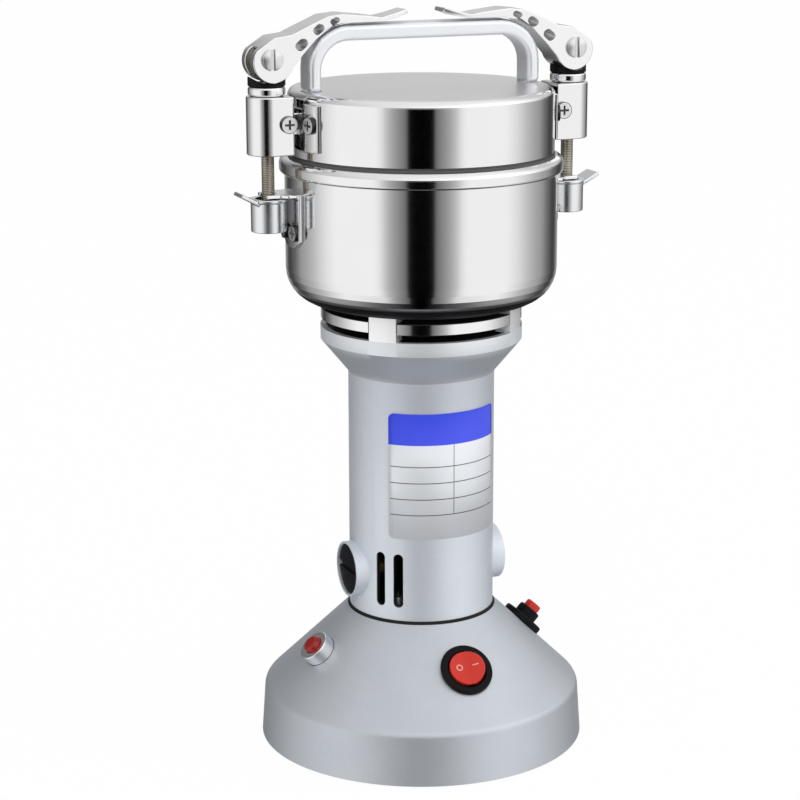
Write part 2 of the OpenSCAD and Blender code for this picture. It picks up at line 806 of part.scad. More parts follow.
module commutator() color("peru") difference() {
    ring(commutator_r, shaft_r, brush_z - brush_w - overrun, brush_z + brush_w + overrun);
    for (turn = [0:slot_count - 1]) rotate([0, 0, turn * slot_step_deg])
        translate([commutator_r - overrun, -segment_gap / 2, brush_z - slot_h])
            cube([2 * overrun, segment_gap, 2 * slot_h]);
}

module cooling_fan() color("white") {
    ring(fan_r, shaft_r, fan_z, fan_z + sheet_t);
    ring(shaft_r + floor_t, shaft_r, fan_z, fan_z + fan_h);
    for (turn = [0:fan_blades - 1]) rotate([0, 0, turn * 4 * quarter / fan_blades])
        translate([shaft_r + floor_t - overrun, -sheet_t / 2, fan_z])
            cube([fan_r - shaft_r - floor_t, sheet_t, fan_h]);
}

// Two-armed blade with its tips bent, a positive angle bending them upward
module blade(bend_deg) intersection() {
    difference() {
        union() {
            translate([-blade_bend_x, -blade_w / 2, 0]) cube([2 * blade_bend_x, blade_w, blade_t]);
            for (side = [0, 2 * quarter]) rotate([0, 0, side])
                translate([blade_bend_x - overrun, -blade_w / 2, 0]) rotate([0, -bend_deg, 0])
                    cube([blade_r, blade_w, blade_t]);
        }
        post(shaft_r, [0, 0, -overrun], blade_t + 2 * overrun);
    }
    post(blade_r, [0, 0, -blade_r], 2 * blade_r);
}

module lower_blade() color("lightgray") translate([0, 0, blade_z]) blade(-lower_bend_deg);

module upper_blade() color("lightgray") translate([0, 0, blade_z + blade_t]) rotate([0, 0, quarter])
    blade(blade_bend_deg);

module blade_nut() color("silver") difference() {
    translate([0, 0, nut_z]) cylinder(r = blade_nut_r, h = blade_nut_h, $fn = 6);
    post(shaft_lower_r, [0, 0, nut_z - overrun], blade_nut_h + 2 * overrun);
}

module bowl() color("gainsboro") difference() {
    rotate_extrude() polygon(concat([[seal_r, bowl_z]],
        corner([seal_r, bowl_z], [bowl_r, bowl_z], [bowl_r, rim_z], bowl_corner_r),
        [[bowl_r, rim_z]],
        corner([bowl_r, rim_z], [rim_r, rim_z], [rim_r, rim_top_z], rim_round),
        corner([rim_r, rim_z], [rim_r, rim_top_z], [bowl_in_r, rim_top_z], rim_top_round),
        [[bowl_in_r, rim_top_z]],
        corner([bowl_in_r, rim_top_z], [bowl_in_r, bowl_z + sheet_t], [seal_r, bowl_z + sheet_t],
            bowl_corner_r - sheet_t),
        [[seal_r, bowl_z + sheet_t]]));
    bowl_screw_places() screw_hole(screw_l);
    catch_screw_places() screw_hole(sheet_screw_l);
}

module shaft_seal() color("black") difference() {
    union() {
        post(seal_r, [0, 0, bowl_z], sheet_t + overrun);
        post(seal_lip_r, [0, 0, bowl_z + sheet_t], seal_lip_t);
    }
    post(shaft_r + running_gap, [0, 0, plate_z], bowl_z);
}

module bowl_catch(left) color("gainsboro") on_side(left) difference() {
    union() {
        intersection() {
            ring_sector(bowl_r + catch_t, bowl_r, catch_z, shelf_top_z, 0, catch_half_deg);
            rotate([quarter, 0, quarter]) linear_extrude(clamp_x) polygon([
                [-catch_half_w, shelf_top_z], [-catch_half_w, catch_neck_z],
                [-shelf_half_w / 2, catch_z], [shelf_half_w / 2, catch_z],
                [catch_half_w, catch_neck_z], [catch_half_w, shelf_top_z]]);
        }
        translate([0, 0, shelf_z]) linear_extrude(shelf_t) polygon(shelf_plan);
    }
    post(bowl_r, [0, 0, bowl_z], rim_top_z - bowl_z);
    post(fork_slot_half, [clamp_x, 0, bowl_z], rim_top_z - bowl_z);
    translate([clamp_x, -fork_slot_half, bowl_z]) cube([bowl_r, 2 * fork_slot_half, rim_top_z - bowl_z]);
    catch_screw_places() screw_hole(sheet_screw_l);
}

module lid() color("gainsboro") difference() {
    rotate_extrude() polygon(concat([[0, lid_top_z - sheet_t]],
        corner([0, lid_top_z - sheet_t], [lid_in_r, lid_top_z - sheet_t], [lid_in_r, lid_z],
            lid_corner_r - sheet_t),
        [[lid_in_r, lid_z], [lid_r, lid_z]],
        corner([lid_r, lid_z], [lid_r, lid_top_z], [0, lid_top_z], lid_corner_r),
        [[0, lid_top_z]]));
    bracket_screw_places() screw_hole(sheet_screw_l);
    handle_screw_places() screw_hole(screw_l);
}

module lid_seal() color("black") {
    ring(seal_r_out, seal_in_r, rim_top_z, lid_z);
    ring(bowl_in_r, seal_in_r, rim_top_z - seal_skirt_h, rim_top_z + seal_t / 2);
}

// Outline of the handle bar at a distance inside its outer edge
module handle_outline(inset) polygon(concat([[-handle_half + inset, lid_top_z]],
    corner([-handle_half + inset, lid_top_z], [-handle_half + inset, handle_top_z - inset],
        [0, handle_top_z - inset], handle_corner_r - inset),
    corner([0, handle_top_z - inset], [handle_half - inset, handle_top_z - inset],
        [handle_half - inset, lid_top_z], handle_corner_r - inset),
    [[handle_half - inset, lid_top_z]]));

module lid_handle() color("lightsteelblue") difference() {
    plate_xz(-handle_w / 2, handle_w) handle_outline(0);
    translate([0, 0, -overrun]) plate_xz(-handle_w / 2 - overrun, handle_w + 2 * overrun)
        handle_outline(handle_t);
    handle_screw_places() screw_hole(screw_l);
}

module clamp_bracket(left) color("gainsboro") on_side(left) difference() {
    union() {
        difference() {
            ring_sector(lid_r + flange_t, lid_r, flange_z, flange_top, 0, flange_end_deg);
            translate([0, -flange_notch_half, flange_mid_top])
                cube([2 * lid_r, 2 * flange_notch_half, lid_h]);
        }
        for (low = [-ear_out, ear_out - ear_t]) plate_xz(low, ear_t) {
            translate([swing_x, swing_z]) circle(r = ear_end_r);
            translate([lid_r + ear_root, swing_z - ear_end_r])
                square([swing_x - lid_r - ear_root, 2 * ear_end_r]);
        }
    }
    translate([swing_x, 0, swing_z]) rod_y(screw_r + running_gap, -housing_half_w, housing_half_w);
    bracket_screw_places() screw_hole(sheet_screw_l);
}

// Plan of the clamp housing: flat cheeks and a half-round outer end, a distance inside its face
module housing_plan(inset) {
    translate([clamp_x, 0]) circle(r = housing_half_w - inset);
    translate([housing_x, -housing_half_w + inset])
        square([clamp_x - housing_x, 2 * (housing_half_w - inset)]);
}

module clamp_housing(left) color("gainsboro") on_side(left) difference() {
    translate([0, 0, housing_z]) linear_extrude(housing_top_z - housing_z) housing_plan(0);
    translate([0, 0, housing_z + wall_t]) linear_extrude(housing_top_z - housing_z - 2 * wall_t)
        union() {
            housing_plan(wall_t);
            translate([housing_x - overrun, -housing_half_w + wall_t])
                square([2 * overrun, 2 * (housing_half_w - wall_t)]);
        }
    post(rod_r + rod_clear, [clamp_x, 0, bowl_z], lid_top_z);
    translate([swing_x, 0, swing_z]) rod_y(screw_r, -bowl_r, bowl_r);
}

module clamp_screw(left) color("lightgray") on_side(left) {
    translate([swing_x, -housing_half_w, swing_z]) rotate([quarter, 0, 0])
        screw(2 * housing_half_w + screw_head_h / 2);
    translate([swing_x, 0, swing_z]) rod_y(screw_head_r, housing_half_w, housing_half_w + pin_head_t);
}

module clamp_collar(left) color("gainsboro") on_side(left) translate([clamp_x, 0, 0])
    ring(pad_r, rod_r + rod_clear, housing_top_z, pad_z);

module cam_pad(left) color("black") on_side(left) translate([clamp_x, 0, 0]) difference() {
    ring(pad_r, rod_r + rod_clear, pad_z, pad_top_z);
    translate([0, 0, saddle_bottom_z + saddle_r]) rod_y(saddle_r, -2 * pad_r, 2 * pad_r);
}

module clamp_rod(left) color("tan") on_side(left) difference() {
    union() {
        post(rod_r, [clamp_x, 0, nut_z0], pivot_z - nut_z0);
        plate_xz(-eye_half_w, 2 * eye_half_w) translate([clamp_x, pivot_z]) circle(r = eye_r);
    }
    translate([clamp_x, 0, pivot_z]) rod_y(pin_r + running_gap, -housing_half_w, housing_half_w);
}

// Point of the cam for a direction in degrees; its reach falls steadily from straight down onward
function cam_point(deg) =
    let (reach = cam_r - cam_rate * (deg + quarter), slope = -cam_rate * 180 / PI)
    reach * [cos(deg), sin(deg)] + slope * [-sin(deg), cos(deg)];

// Outline of the lever about its pin, closed: the round head, the cam, the arm's top and its underside
lever_outline = concat(arc([0, 0], cam_r, head_degs[0], head_degs[1]),
    [for (deg = [-quarter:cam_step_deg:cam_end_deg]) cam_point(deg)],
    lever_top, lever_under);

// Oval hole in the lever's cheeks
module lever_hole(place, size, deg) translate(place) rotate(deg) {
    for (end = [-1, 1]) translate([end * (size[0] - size[1]) / 2, 0]) circle(d = size[1]);
    square([size[0] - size[1], size[1]], center = true);
}

module clamp_lever(left) color("white") on_side(left) difference() {
    intersection() {
        plate_xz(-lever_half_w, 2 * lever_half_w) translate([clamp_x, pivot_z]) polygon(lever_outline);
        translate([0, 0, pivot_z - lever_up]) linear_extrude(2 * lever_up) polygon(lever_plan);
    }
    plate_xz(-eye_slot_half, 2 * eye_slot_half) translate([clamp_x, pivot_z]) {
        circle(r = eye_r + rod_clear);
        polygon(concat([[0, 0]], arc([0, 0], 2 * cam_r, mouth_degs[0], mouth_degs[1])));
    }
    translate([clamp_x, 0, pivot_z]) rod_y(pin_r, -bowl_r, bowl_r);
    plate_xz(-bowl_r, 2 * bowl_r) translate([clamp_x, pivot_z])
        for (hole = lever_holes) lever_hole(hole[0], hole[1], hole[2]);
}

module lever_pin(left) color("lightgray") on_side(left) translate([clamp_x, 0, pivot_z]) difference() {
    union() {
        rod_y(pin_r, -lever_half_w, lever_half_w);
        rod_y(pin_head_r, -lever_half_w - pin_head_t, -lever_half_w);
        rod_y(pin_head_r, lever_half_w, lever_half_w + pin_head_t);
    }
    translate([-driver_slot / 2, -lever_half_w - 2 * pin_head_t, -pin_head_r])
        cube([driver_slot, 2 * pin_head_t - pin_head_t / 3, 2 * pin_head_r]);
}

module thumb_nut(left) color("silver") on_side(left) translate([clamp_x, 0, 0]) difference() {
    union() {
        post(nut_r, [0, 0, nut_z0], nut_h);
        post(nut_flange_r, [0, 0, nut_z1 - nut_flange_t], nut_flange_t);
        translate([wing_root, 0, nut_z1 - nut_flange_t - wing_drop]) rotate([0, -wing_deg, 0])
            translate([0, -wing_w / 2, 0]) cube([wing_l, wing_w, wing_t]);
    }
    post(nut_cup_r, [0, 0, nut_z1 - nut_cup_h], nut_h);
    post(rod_r + running_gap, [0, 0, nut_z0 - overrun], nut_h);
}

module machine_screws() color("lightgray") {
    cover_screw_places() screw(screw_l);
    column_screw_places() screw(screw_l);
    plate_screw_places() screw(plate_screw_l);
    bowl_screw_places() screw(screw_l);
    catch_screw_places() screw(sheet_screw_l);
    bracket_screw_places() screw(sheet_screw_l);
    handle_screw_places() screw(screw_l);
}

base_shell();
bottom_cover();
rubber_feet();
cord_gland();
switch_bezel();
switch_rocker();
lamp_bezel();
lamp_lens();
reset_body();
reset_button();
motor_housing();
rating_label();
stator_core();
field_coils();
lower_bearing();
upper_bearing();
bearing_bracket();
vent_plate();
brush_holder(true);  // brush_holder_left
brush_holder(false);  // brush_holder_right
carbon_brush(true);  // carbon_brush_left
carbon_brush(false);  // carbon_brush_right
brush_cap(true);  // brush_cap_left
brush_cap(false);  // brush_cap_right
brush_spring(true);  // brush_spring_left
brush_spring(false);  // brush_spring_right
motor_shaft();
armature_core();
armature_windings();
commutator();
cooling_fan();
lower_blade();
upper_blade();
blade_nut();
bowl();
shaft_seal();
bowl_catch(true);  // bowl_catch_left
bowl_catch(false);  // bowl_catch_right
lid();
lid_seal();
lid_handle();
clamp_bracket(true);  // clamp_bracket_left
clamp_bracket(false);  // clamp_bracket_right
clamp_housing(true);  // clamp_housing_left
clamp_housing(false);  // clamp_housing_right
clamp_screw(true);  // clamp_screw_left
clamp_screw(false);  // clamp_screw_right
clamp_collar(true);  // clamp_collar_left
clamp_collar(false);  // clamp_collar_right
cam_pad(true);  // cam_pad_left
cam_pad(false);  // cam_pad_right
clamp_rod(true);  // clamp_rod_left
clamp_rod(false);  // clamp_rod_right
clamp_lever(true);  // clamp_lever_left
clamp_lever(false);  // clamp_lever_right
lever_pin(true);  // lever_pin_left
lever_pin(false);  // lever_pin_right
thumb_nut(true);  // thumb_nut_left
thumb_nut(false);  // thumb_nut_right
machine_screws();
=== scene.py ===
# Electric grain mill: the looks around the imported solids, in metres, front at -Y.
import json
import math

import bpy
from mathutils import Matrix, Vector


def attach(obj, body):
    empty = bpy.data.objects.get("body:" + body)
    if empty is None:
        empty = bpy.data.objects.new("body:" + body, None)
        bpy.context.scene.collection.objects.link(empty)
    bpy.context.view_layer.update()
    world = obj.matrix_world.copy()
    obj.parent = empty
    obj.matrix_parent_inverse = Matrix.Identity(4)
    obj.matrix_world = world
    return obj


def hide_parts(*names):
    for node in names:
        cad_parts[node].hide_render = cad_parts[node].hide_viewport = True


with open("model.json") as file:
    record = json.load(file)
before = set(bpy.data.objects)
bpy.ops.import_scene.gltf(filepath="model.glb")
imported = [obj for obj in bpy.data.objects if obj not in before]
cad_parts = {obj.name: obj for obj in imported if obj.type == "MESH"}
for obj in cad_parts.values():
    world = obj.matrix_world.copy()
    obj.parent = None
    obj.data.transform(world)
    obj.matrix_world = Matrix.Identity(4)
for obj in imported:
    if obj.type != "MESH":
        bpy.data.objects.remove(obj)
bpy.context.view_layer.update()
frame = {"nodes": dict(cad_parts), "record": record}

MM = 0.001
FULL_TURN = 2 * math.pi
FRONT_DEG = 270
SIDES = {"left": -1, "right": 1}
BODY_OF = {node: body for body, nodes in frame["record"]["behaviour"]["bodies"].items() for node in nodes}
SLOT_OF = {part["node"]: part["material_slot"] for part in frame["record"]["subparts"]}

# Camera: 23 degrees left of the front, looking a little down; focal length and axis in pixels
CAMERA_AZIMUTH = math.radians(-23)
CAMERA_DISTANCE = 0.935
CAMERA_HEIGHT = 0.3785
CAMERA_PITCH = math.radians(14.12)
CAMERA_NEAR = 0.05
SENSOR = 36.0
PHOTO_WIDTH = 800
FOCAL_PIXELS = 2338
AXIS_PIXEL = 421.2

# Sky: brightness by degrees away from straight ahead, close to the horizon and above it
HORIZON_GLOW = (
    (0, 0.0), (10.5, 0.0), (12.5, 0.17), (18.5, 0.28), (24, 0.40), (29, 0.56), (34, 0.84),
    (39, 0.97), (76, 0.97), (86, 0.84), (94, 0.70), (102, 0.55), (112, 0.42), (121, 0.34),
    (131, 0.17), (143, 0.06), (152, 0.06), (160, 0.25), (178, 0.5))
UPPER_GLOW = (
    (0, 1.0), (60, 1.0), (90, 0.90), (112, 0.62), (134, 0.40), (150, 0.46), (165, 0.60), (179, 0.64))
UPPER_GAIN, UPPER_SLANT = 1.02, 0.36
ZENITH_GLOW, ZENITH_SLANT = 0.89, 0.15
UNDER_GLOW = 0.03

# Sky: slopes between which one part turns into the next, -1 straight down and 1 straight up
UNDER_TO_HORIZON = (-0.95, -0.60)
HORIZON_TO_UPPER = (0.04, 0.22)
UPPER_TO_ZENITH = (0.55, 0.95)

# Floor and lamps: name, place and power of each lamp
FLOOR_SIZE, FLOOR_GREY, FLOOR_WHITENESS = 8, 0.9, 0.97
LAMPS = (("key_lamp", (-0.9, -1.3, 1.5), 7.0), ("fill_lamp", (1.5, -0.9, 1.1), 5.0))
LAMP_SIZE = 0.9
LAMP_TARGET = (0, 0, 0.15)

# Column: heights where the flare's painted shade, the band's painted highlight and the bare posts start, and
# the reach of its inside painted near black as shade
FLARE_EDGE = (156.9 * MM, 157.4 * MM)
BAND_EDGE = (170.55 * MM, 170.75 * MM)
BARE_EDGE = (176.15 * MM, 176.3 * MM)
COLUMN_INSIDE_R, COLUMN_INSIDE_TOP = 29.5 * MM, 176 * MM
# Flare painted darker as shade, band painted lighter as a highlight, and near black painted shade for hollows
FLARE_PAINTED_SHADE, BAND_PAINTED_HIGHLIGHT = (0.53, 0.56, 0.60), (0.84, 0.865, 0.90)
PAINTED_SHADE = (0.012, 0.012, 0.013)

# Steel: the bowl's underside, dull and painted dark as shade, the lid's brushed top and the vent plate's
# polished edge
STEEL_TONES = (0.85, 0.85, 0.86), (0.91, 0.91, 0.915)
STEEL_GLOSS = 0.075
BOWL_UNDERSIDE = (190.5 * MM, 193.5 * MM)
LID_TOP_EDGE = (272.2 * MM, 272.45 * MM)
PLATE_EDGE_R, PLATE_BOTTOM, PLATE_TOP = 40.7 * MM, 179.5 * MM, 183.6 * MM

# Clamps: their reach, the levers' pivot, half a lever's width and the swing screws
CLAMP_X, PIVOT_Z, LEVER_HALF = 65.2 * MM, 286 * MM, 7.2 * MM
SWING_X, SWING_Z = 59.2 * MM, 260.9 * MM
THREAD_PITCH = 0.7 * MM

# Screw heads: the cross recess and rim, drawn dark as painted shade, and each outward head's turn from the
# clamps and height
CROSS_HALF, CROSS_REACH = 0.42 * MM, 1.8 * MM
RIM_IN, RIM_OUT = 3.15 * MM, 3.6 * MM
BRACKET_SCREWS = (math.radians(15.5), SWING_Z)
CATCH_SCREWS = (math.radians(5.4), 217.6 * MM)

# Lever pins: shank, head, half the driver slot, the slot's floor and the rounding of the heads
PIN_R, PIN_HEAD_R, PIN_HEAD, PIN_SLOT = 1.95 * MM, 4.25 * MM, 1.2 * MM, 0.75 * MM
SLOT_FLOOR_IN, SLOT_FLOOR_T = 0.4 * MM, 0.3 * MM
PIN_FRONT_ROUND, PIN_REAR_ROUND = 0.32 * MM, 0.45 * MM
PIN_SHANK_SIDES = 48

# Label, in mm: lower edge, height, radius, corners and foil
LABEL_LOW, LABEL_TALL, LABEL_R, LABEL_CORNER, LABEL_FOIL = 92.4, 52.3, 30.24, 2.4, 0.2
LABEL_CORNER_CUTS = (22.5, 45, 67.5)
# Label, in degrees: half its width, reach of the rows, and the divider's place and half width
LABEL_HALF, LABEL_ROW_HALF, LABEL_DIVIDER, LABEL_DIVIDER_HALF = 49, 47.5, 3.0, 0.30
LABEL_HEADER_Z = 131.8 * MM
LABEL_ROWS_Z = (122.8 * MM, 116 * MM, 109.2 * MM, 102.6 * MM)
LABEL_LINE = 0.19 * MM

# Rocker, in mm: the cone it sits on, and the pivot, half thickness and bend of the rocker
CONE_TOP_R, CONE_TOP_Z, SHOULDER_R, SHOULDER_Z, CONTROL_Z = 30, 57, 66, 22.2, 41
CONE_TILT = math.atan2(CONE_TOP_Z - SHOULDER_Z, SHOULDER_R - CONE_TOP_R)
CONTROL_R = SHOULDER_R - (CONTROL_Z - SHOULDER_Z) / math.tan(CONE_TILT)
ROCKER_PIVOT_UP, ROCKER_HALF_T = 0.7, 2
ROCKER_BEND = math.radians(18)
ROCKER_FACE = ROCKER_PIVOT_UP + ROCKER_HALF_T * math.cos(ROCKER_BEND / 2)

# Rocker marks: a ring and a bar, each with its place on its half of the rocker
RING_R, RING_WIRE, RING_FLATNESS, RING_PLACE = 1.15 * MM, 0.24 * MM, 0.5, (-3.5 * MM, 0.5 * MM, 0)
BAR_SIZE, BAR_ROUND, BAR_PLACE = (2.7 * MM, 0.55 * MM, 0.24 * MM), 0.1 * MM, (3.3 * MM, 0.5 * MM, 0)

# Rounding of each piece's edges, in mm; nought only shades the piece afresh
EASED = [("lid_handle", 2.0), ("motor_housing", 0), ("switch_bezel", 0.8), ("switch_rocker", 0.5),
         ("lamp_bezel", 0.5), ("reset_body", 0.8), ("reset_button", 0.8), ("cord_gland", 0.4),
         ("rubber_feet", 0.5)]
EASED_PAIRS = [("clamp_lever", 0.4), ("clamp_housing", 0.6), ("clamp_collar", 1.2), ("cam_pad", 0.4),
               ("thumb_nut", 0.45), ("clamp_bracket", 0.4), ("bowl_catch", 0.45), ("brush_cap", 0.4)]

# Gasket where the column stands on the base: radii and heights of its outline, in mm
GASKET = ((29.9, 57.35), (30.3, 57.3), (30.65, 56.85), (30.9, 56.35), (30.7, 55.6))

# Meshes: edges sharper than this stay sharp, flatter ones are dissolved, closer points merged
SHARP, SHARP_TURNED, FLAT = math.radians(40), math.radians(35), math.radians(0.4)
MERGE = 2e-6


class Num:
    """A number that varies over a surface; arithmetic on it adds Math nodes."""

    def __init__(self, finish, socket):
        self.finish, self.socket = finish, socket

    def math(self, operation, *others):
        return self.finish.num("ShaderNodeMath", {"operation": operation}, dict(enumerate((self,) + others)))

    def __add__(self, other):
        return self.math("ADD", other)

    def __sub__(self, other):
        return self.math("SUBTRACT", other)

    def __rsub__(self, other):
        return (self * -1).math("ADD", other)

    def __mul__(self, other):
        return self.math("MULTIPLY", other)

    def __truediv__(self, other):
        return self.math("DIVIDE", other)

    def __gt__(self, other):
        return self.math("GREATER_THAN", other)

    def __lt__(self, other):
        return self.math("LESS_THAN", other)

    def __abs__(self):
        return self.math("ABSOLUTE")

    __radd__ = __add__
    __rmul__ = __mul__


class Finish:
    """One material or the studio's sky, with the nodes that make it."""

    def __init__(self, name, owner=None):
        self.owner = owner or bpy.data.materials.new(name)
        self.owner.use_nodes = True
        self.tree = self.owner.node_tree
        self.tree.nodes.clear()

    def node(self, kind, settings=None, inputs=None):
        node = self.tree.nodes.new(kind)
        for key, value in (settings or {}).items():
            if key == "stops":
                ramp = node.color_ramp.elements
                while len(ramp) < len(value):
                    ramp.new(1.0)
                for element, (degrees, glow) in zip(ramp, value):
                    element.position = degrees / 180
                    element.color = (glow, glow, glow, 1)
            else:
                setattr(node, key, value)
        for key, value in (inputs or {}).items():
            if isinstance(value, Num):
                value = value.socket
            if isinstance(value, bpy.types.NodeSocket):
                self.tree.links.new(value, node.inputs[key])
            elif node.inputs[key].type == "RGBA" and len(value) == 3:
                node.inputs[key].default_value = (*value, 1)
            else:
                node.inputs[key].default_value = value
        return node

    def num(self, *args):
        return Num(self, self.node(*args).outputs[0])

    def place(self):
        return self.node("ShaderNodeTexCoord").outputs["Object"]

    def stretched(self, scale):
        return self.node("ShaderNodeMapping", None, {"Vector": self.place(), "Scale": scale}).outputs[0]

    def axes(self, vector=None):
        split = self.node("ShaderNodeSeparateXYZ", None, {0: vector or self.place()})
        return [Num(self, split.outputs[axis]) for axis in range(3)]

    def noise(self, scale, vector=None, detail=2.0, roughness=0.5):
        return self.num("ShaderNodeTexNoise", None, {
            "Vector": vector or self.place(), "Scale": scale, "Detail": detail, "Roughness": roughness})

    def step(self, value, low, high):
        return self.num("ShaderNodeMapRange", {"interpolation_type": "SMOOTHSTEP"},
                        {"Value": value, "From Min": low, "From Max": high})

    def mix(self, share, first, second):
        return self.node("ShaderNodeMix", {"data_type": "RGBA"}, {0: share, 6: first, 7: second}).outputs[2]

    def bump(self, height, depth, strength):
        return self.node("ShaderNodeBump", None, {
            "Height": height, "Distance": depth, "Strength": strength}).outputs[0]

    def surface(self, **inputs):
        shader = self.node("ShaderNodeBsdfPrincipled", None, {
            key.replace("_", " "): value for key, value in inputs.items()})
        self.node("ShaderNodeOutputMaterial", None, {"Surface": shader.outputs[0]})
        return self.owner


def reach(x, y):
    """Distance from an upright axis."""
    return (x * x + y * y).math("SQRT")


def silver_paint(name, shade, gloss, flakes, on_column=False):
    """Fine metallic paint; the column's has bare posts, painted shade on its flare and inside, and a painted
    highlight on its band.
    """
    finish = Finish(name)
    flake = finish.noise(2600, detail=1.0)
    cloud = finish.noise(55, detail=3.0)
    grain = finish.noise(1500, detail=3.0, roughness=0.65)
    dark, light = (0.70 * shade, 0.74 * shade, 0.795 * shade), (0.76 * shade, 0.80 * shade, 0.855 * shade)
    colour = finish.mix(finish.step(flake * 0.6 + cloud * 0.4, 0.34, 0.66), dark, light)
    rough = gloss + 0.08 * flake
    if on_column:
        x, y, z = finish.axes()
        bare = finish.step(z, *BARE_EDGE)
        inside = (reach(x, y) < COLUMN_INSIDE_R) * (z < COLUMN_INSIDE_TOP)
        # Painted shade on the flare and inside the column, and a painted highlight on the band
        colour = finish.mix(finish.step(z, *FLARE_EDGE), colour, FLARE_PAINTED_SHADE)
        colour = finish.mix(finish.step(z, *BAND_EDGE), colour, BAND_PAINTED_HIGHLIGHT)
        colour = finish.mix(bare, colour, finish.mix(cloud, (0.97, 0.97, 0.98), (1.0, 1.0, 1.0)))
        colour = finish.mix(inside, colour, PAINTED_SHADE)
        rough = rough - 0.14 * bare
        flakes = flakes * (1.0 - 0.9 * inside)
    return finish.surface(
        Base_Color=colour, Metallic=flakes, Roughness=rough, Normal=finish.bump(grain, 0.00006, 0.55))


def polished_steel(name, gloss, underside=None):
    """Bright steel with faint turning lines, dull and painted dark as shade below the underside's edge."""
    finish = Finish(name)
    smear = finish.noise(26)
    lines = finish.noise(1.0, finish.stretched((6, 6, 5200)))
    colour = finish.mix(smear, *STEEL_TONES)
    rough = gloss + 0.05 * lines + 0.02 * smear
    if underside:
        wall = finish.step(finish.axes()[2], *underside)
        # Painted shade: below the underside's edge the bowl is coloured near black
        colour = finish.mix(wall, PAINTED_SHADE, colour)
        rough = rough + (0.5 - 0.5 * wall)
    return finish.surface(
        Base_Color=colour, Metallic=1.0, Roughness=rough, Normal=finish.bump(lines, 0.000002, 0.35))


def plate_steel():
    """The vent plate: a polished edge around a dull top painted near black as shade."""
    finish = Finish("plate_steel")
    x, y, z = finish.axes()
    smear = finish.noise(60)
    edge = (reach(x, y) > PLATE_EDGE_R) * (z < PLATE_TOP) * (z > PLATE_BOTTOM)
    # Painted shade: the plate's top is coloured near black
    top = finish.mix(smear, (0.010, 0.010, 0.011), (0.018, 0.018, 0.019))
    rim = finish.mix(smear, (0.88, 0.88, 0.89), (0.93, 0.93, 0.935))
    return finish.surface(
        Base_Color=finish.mix(edge, top, rim), Metallic=edge, Roughness=0.7 - 0.61 * edge + 0.04 * smear,
        Normal=finish.bump(smear, 0.00002, 0.3))


def lid_steel():
    """Polished skirt, and a top brushed in rings."""
    finish = Finish("lid_steel")
    x, y, z = finish.axes()
    smear = finish.noise(26)
    rings = finish.node("ShaderNodeCombineXYZ", None, {0: reach(x, y) * 2600, 1: smear * 2.0, 2: z * 40})
    lines = finish.noise(1.0, rings.outputs[0])
    top = finish.step(z, *LID_TOP_EDGE)
    return finish.surface(
        Base_Color=finish.mix(smear, *STEEL_TONES), Metallic=1.0,
        Roughness=0.08 + 0.03 * smear + top * (0.17 + 0.08 * lines),
        Normal=finish.bump(lines, 0.000003, 0.6))


def threaded_steel():
    """Yellowed zinc with a fine screw thread, coloured darker in its grooves as painted shade."""
    finish = Finish("threaded_steel")
    x, y, z = finish.axes()
    turn = y.math("ARCTAN2", abs(x) - CLAMP_X)
    wave = (z / THREAD_PITCH * FULL_TURN + turn).math("SINE")
    stain = finish.noise(160, detail=3.0)
    # Real stains, plus painted shade that darkens the thread's grooves
    groove_shade_and_stain = finish.step(wave * 0.35 + stain, 0.15, 0.85)
    return finish.surface(
        Base_Color=finish.mix(groove_shade_and_stain, (0.20, 0.175, 0.135), (0.56, 0.51, 0.43)), Metallic=1.0,
        Roughness=0.28 + 0.14 * stain, Normal=finish.bump(wave, 0.00009, 0.7))


def satin_steel(name, outward=(), forward=()):
    """Worn steel; heads that face outward (turn, height) or forward (reach, height) get a cross recess and
    rim painted dark as shade.
    """
    finish = Finish(name)
    wear = finish.noise(40, detail=3.0)
    grain = finish.noise(1600)
    colour = finish.mix(wear, (0.68, 0.68, 0.69), (0.80, 0.80, 0.81))
    x, y, z = finish.axes()
    heads = [(abs(x) * math.sin(turn) - abs(y) * math.cos(turn), height) for turn, height in outward]
    heads += [(abs(x) - head_x, height) for head_x, height in forward]
    for offset, height in heads:
        aside, up = abs(offset), abs(z - height)
        away = reach(aside, up)
        cross = ((aside < CROSS_HALF) * (up < CROSS_REACH)).math(
            "MAXIMUM", (up < CROSS_HALF) * (aside < CROSS_REACH))
        marks = cross.math("MAXIMUM", (away > RIM_IN) * (away < RIM_OUT))
        # Painted shade: the cross recess and the rim of each head are coloured dark
        colour = finish.mix(marks, colour, (0.07, 0.066, 0.062))
    return finish.surface(
        Base_Color=colour, Metallic=1.0, Roughness=0.22 + 0.12 * wear,
        Normal=finish.bump(grain, 0.00001, 0.4))


def label_print():
    """Blue header over a pale foil with ruled rows; no lettering."""
    finish = Finish("label_print")
    x, y, z = finish.axes()
    turn = x.math("ARCTAN2", y * -1) * (180 / math.pi)
    cloud = finish.noise(70)
    fine = finish.noise(1700)
    header = z > LABEL_HEADER_Z
    line = (abs(turn - LABEL_DIVIDER) < LABEL_DIVIDER_HALF) * (z > LABEL_ROWS_Z[-1]) * (z < LABEL_HEADER_Z)
    for row in LABEL_ROWS_Z:
        line = line.math("MAXIMUM", abs(z - row) < LABEL_LINE)
    line = line * (abs(turn) < LABEL_ROW_HALF)
    foil = finish.mix(cloud, (0.72, 0.745, 0.78), (0.78, 0.80, 0.83))
    ruled = finish.mix(line, foil, (0.10, 0.105, 0.12))
    blue = finish.mix(cloud, (0.030, 0.055, 0.72), (0.042, 0.075, 0.82))
    return finish.surface(
        Base_Color=finish.mix(header, ruled, blue), Metallic=0.25 * (1 - header),
        Roughness=0.34 + 0.08 * fine, Normal=finish.bump(fine, 0.00001, 0.3))


